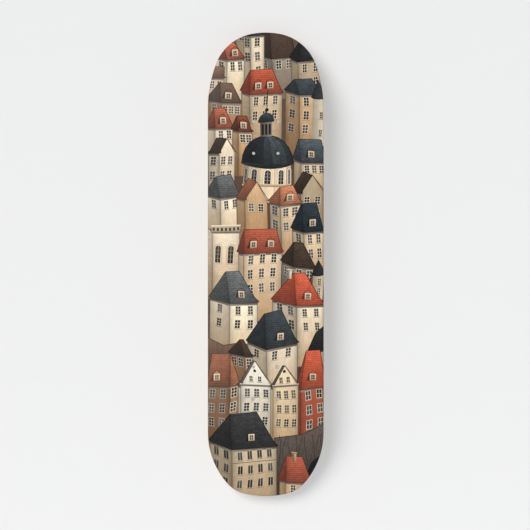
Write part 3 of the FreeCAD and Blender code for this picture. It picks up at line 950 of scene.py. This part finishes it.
def print_material(surface):
    """One kind of brushwork: the painted colour, mottled and coursed, under a satin film."""
    material, tree, shader = new_material("print_" + surface, Coat_Weight=0.06, Coat_Roughness=0.22,
                                          Specular_IOR_Level=0.12)
    painted = add_node(tree, "ShaderNodeAttribute", attribute_name="paint")
    colour = painted.outputs["Color"]
    for seed, (stretch, spread) in enumerate(BRUSHWORK[surface]):
        texture = mottle(tree, stretch, spread, seed=seed * 3.7)
        colour = times(tree, colour, texture)
    if surface in COURSES:
        colour = times(tree, colour, courses(tree, *COURSES[surface]))
    tree.links.new(colour, shader.inputs["Base Color"])
    sheen = add_node(tree, "ShaderNodeMapRange", To_Min=0.36, To_Max=0.5)
    tree.links.new(texture, sheen.inputs["Value"])
    tree.links.new(sheen.outputs["Result"], shader.inputs["Roughness"])
    bump(tree, shader, texture, 0.12, 0.0001)
    return material


# A fibre's size across the grain, along it and through the veneer, in millimetres. The figure
# and the pores are multiples of it.
FIBRE = (1.0, 30.0, 12.0)
FIGURE = 9.0
PORE = 0.35


def wood_material(name, tint, grain, lacquer):
    """Maple veneer: long fibres along the grain, broad figure, fine pores and a clear lacquer."""
    material, tree, shader = new_material(name, Coat_Weight=lacquer, Coat_Roughness=0.12,
                                          Specular_IOR_Level=0.4)
    across, along, through = FIBRE
    fibre = (along, across, through) if grain == "across" else (across, along, through)
    figure = tuple(length * FIGURE for length in fibre)
    pores = tuple(length * PORE for length in fibre)
    ramp = add_node(tree, "ShaderNodeValToRGB")
    ramp.color_ramp.elements[0].color = (*linear(tone(tint, 0.8)), 1.0)
    ramp.color_ramp.elements[1].color = (*linear(tone(tint, 1.08)), 1.0)
    broad = add_node(tree, "ShaderNodeTexNoise", Scale=1.0, Detail=5.0, Distortion=0.6)
    tree.links.new(millimetres(tree, figure), broad.inputs["Vector"])
    tree.links.new(broad.outputs["Fac"], ramp.inputs["Fac"])
    colour = times(tree, ramp.outputs["Color"], mottle(tree, fibre, 0.06, seed=2.0))
    fine = mottle(tree, pores, 0.07, seed=5.0)
    colour = times(tree, colour, fine)
    tree.links.new(colour, shader.inputs["Base Color"])
    rough = add_node(tree, "ShaderNodeMapRange", From_Min=0.9, From_Max=1.1, To_Min=0.3, To_Max=0.46)
    tree.links.new(fine, rough.inputs["Value"])
    tree.links.new(rough.outputs["Result"], shader.inputs["Roughness"])
    bump(tree, shader, fine, 0.15, 0.00008)
    return material


def finish_veneers():
    """Maple on the seven veneers: grain along the deck, and across it on the cross-bands."""
    woods = {
        "face": wood_material("maple_face", (226, 192, 146), "along", 0.45),
        "core": wood_material("maple_core", (214, 178, 132), "along", 0.1),
        "cross": wood_material("maple_cross_band", (176, 132, 90), "across", 0.1),
    }
    for name, node in frame["nodes"].items():
        for kind, wood in woods.items():
            if "_" + kind + "_" in name:
                for material_slot in node.material_slots:
                    material_slot.material = wood


# ---------------------------------------------------------------- stage, light and camera

WALL_GAP = 0.012
STAGE_REACH = 6.0
FLOOR_HEIGHT = -0.70
STAGE_TINT = (0.573, 0.543, 0.518, 1.0)
STAGE_GLOW = (0.262, 0.296, 0.324, 1.0)

AMBIENT = 0.25
BACKDROP = 0.86
KEY_STRENGTH = 2.37
KEY_SPREAD = math.radians(39.0)
KEY_SIDE = math.radians(31.5)
KEY_RISE = math.radians(23.5)
BACK_FILL_PLACE = Vector((-1.5, 3.0, 1.5))
BACK_FILL_SIZE = 2.0
BACK_FILL_POWER = 25.0

SENSOR_WIDTH = 36.0
CAMERA_DISTANCE = 8.0
VIEW_WIDTH = 0.8994
VIEW_PLANE = 0.02
AIM_OFFSET = (-0.0013, -0.0011)


def stage_material(name, front_only):
    """Matt paint that glows a little, which keeps the deck's shadow on it soft and pale.

    Where only its front shows, the deck can be seen through it from behind.
    """
    material, tree, shader = new_material(name, Roughness=0.9, Specular_IOR_Level=0.0,
                                          Base_Color=STAGE_TINT, Emission_Color=STAGE_GLOW,
                                          Emission_Strength=1.0)
    if front_only:
        clear = add_node(tree, "ShaderNodeBsdfTransparent")
        geometry = add_node(tree, "ShaderNodeNewGeometry")
        mix = add_node(tree, "ShaderNodeMixShader")
        tree.links.new(geometry.outputs["Backfacing"], mix.inputs["Fac"])
        tree.links.new(shader.outputs["BSDF"], mix.inputs[1])
        tree.links.new(clear.outputs["BSDF"], mix.inputs[2])
        tree.links.new(mix.outputs["Shader"], tree.nodes["Material Output"].inputs["Surface"])
    return material


def stage_plane(name, corners, material):
    """A flat stage surface through its corners."""
    mesh = bpy.data.meshes.new(name)
    mesh.from_pydata(corners, [], [tuple(range(len(corners)))])
    mesh.materials.append(material)
    plane = bpy.data.objects.new(name, mesh)
    bpy.context.scene.collection.objects.link(plane)
    return plane


def make_stage():
    """A pale wall just behind the deck, and a pale floor below it."""
    back = CAD_BOX[1].y + WALL_GAP
    upright = rectangle(-STAGE_REACH, STAGE_REACH, FLOOR_HEIGHT, STAGE_REACH)
    level = rectangle(-STAGE_REACH, STAGE_REACH, -STAGE_REACH, STAGE_REACH)
    wall = stage_plane("pale_wall", [(x, back, z) for x, z in upright],
                       stage_material("pale_wall_paint", front_only=True))
    wall.visible_shadow = False
    stage_plane("pale_floor", [(x, y, FLOOR_HEIGHT) for x, y in level],
                stage_material("pale_floor_paint", front_only=False))


def make_world():
    """Even ambient light. The camera sees it as a pale backdrop."""
    world = bpy.data.worlds.new("soft_studio")
    world.use_nodes = True
    tree = world.node_tree
    ray = add_node(tree, "ShaderNodeLightPath")
    strength = add_node(tree, "ShaderNodeMapRange", To_Min=AMBIENT, To_Max=BACKDROP)
    background = tree.nodes["Background"]
    background.inputs["Color"].default_value = (1.0, 1.0, 1.0, 1.0)
    tree.links.new(ray.outputs["Is Camera Ray"], strength.inputs["Value"])
    tree.links.new(strength.outputs["Result"], background.inputs["Strength"])
    bpy.context.scene.world = world


def add_light(name, kind, power, direction):
    """A light that shines in one direction."""
    light = bpy.data.lights.new(name, kind)
    light.energy = power
    lamp = bpy.data.objects.new(name, light)
    lamp.rotation_mode = "QUATERNION"
    lamp.rotation_quaternion = direction.to_track_quat("-Z", "Y")
    bpy.context.scene.collection.objects.link(lamp)
    return lamp


def make_key():
    """A broad soft key from the upper left, as even as a large far softbox."""
    level = math.cos(KEY_RISE)
    source = Vector((-level * math.sin(KEY_SIDE), -level * math.cos(KEY_SIDE), math.sin(KEY_RISE)))
    key = add_light("key", "SUN", KEY_STRENGTH, -source)
    key.data.angle = KEY_SPREAD


def make_back_fill():
    """A soft square light on the riding face, seen only from behind."""
    middle = (CAD_BOX[0] + CAD_BOX[1]) / 2
    fill = add_light("back_fill", "AREA", BACK_FILL_POWER, middle - BACK_FILL_PLACE)
    fill.data.size = BACK_FILL_SIZE
    fill.location = BACK_FILL_PLACE


def make_camera():
    """A long lens, level with the deck's middle and square to it.

    Its view is VIEW_WIDTH wide at VIEW_PLANE, a little behind the flat of the print.
    """
    camera = bpy.data.cameras.new("camera")
    camera.sensor_width = SENSOR_WIDTH
    camera.lens = camera.sensor_width * CAMERA_DISTANCE / VIEW_WIDTH
    rig = bpy.data.objects.new("camera", camera)
    middle = (CAD_BOX[0] + CAD_BOX[1]) / 2
    rig.location = (AIM_OFFSET[0], VIEW_PLANE - CAMERA_DISTANCE, middle.z + AIM_OFFSET[1])
    rig.rotation_euler = (math.pi / 2, 0.0, 0.0)
    bpy.context.scene.collection.objects.link(rig)
    bpy.context.scene.camera = rig


draw_town()
make_film()
finish_veneers()
make_stage()
make_world()
make_key()
make_back_fill()
make_camera()
bpy.context.scene.view_settings.view_transform = "Standard"
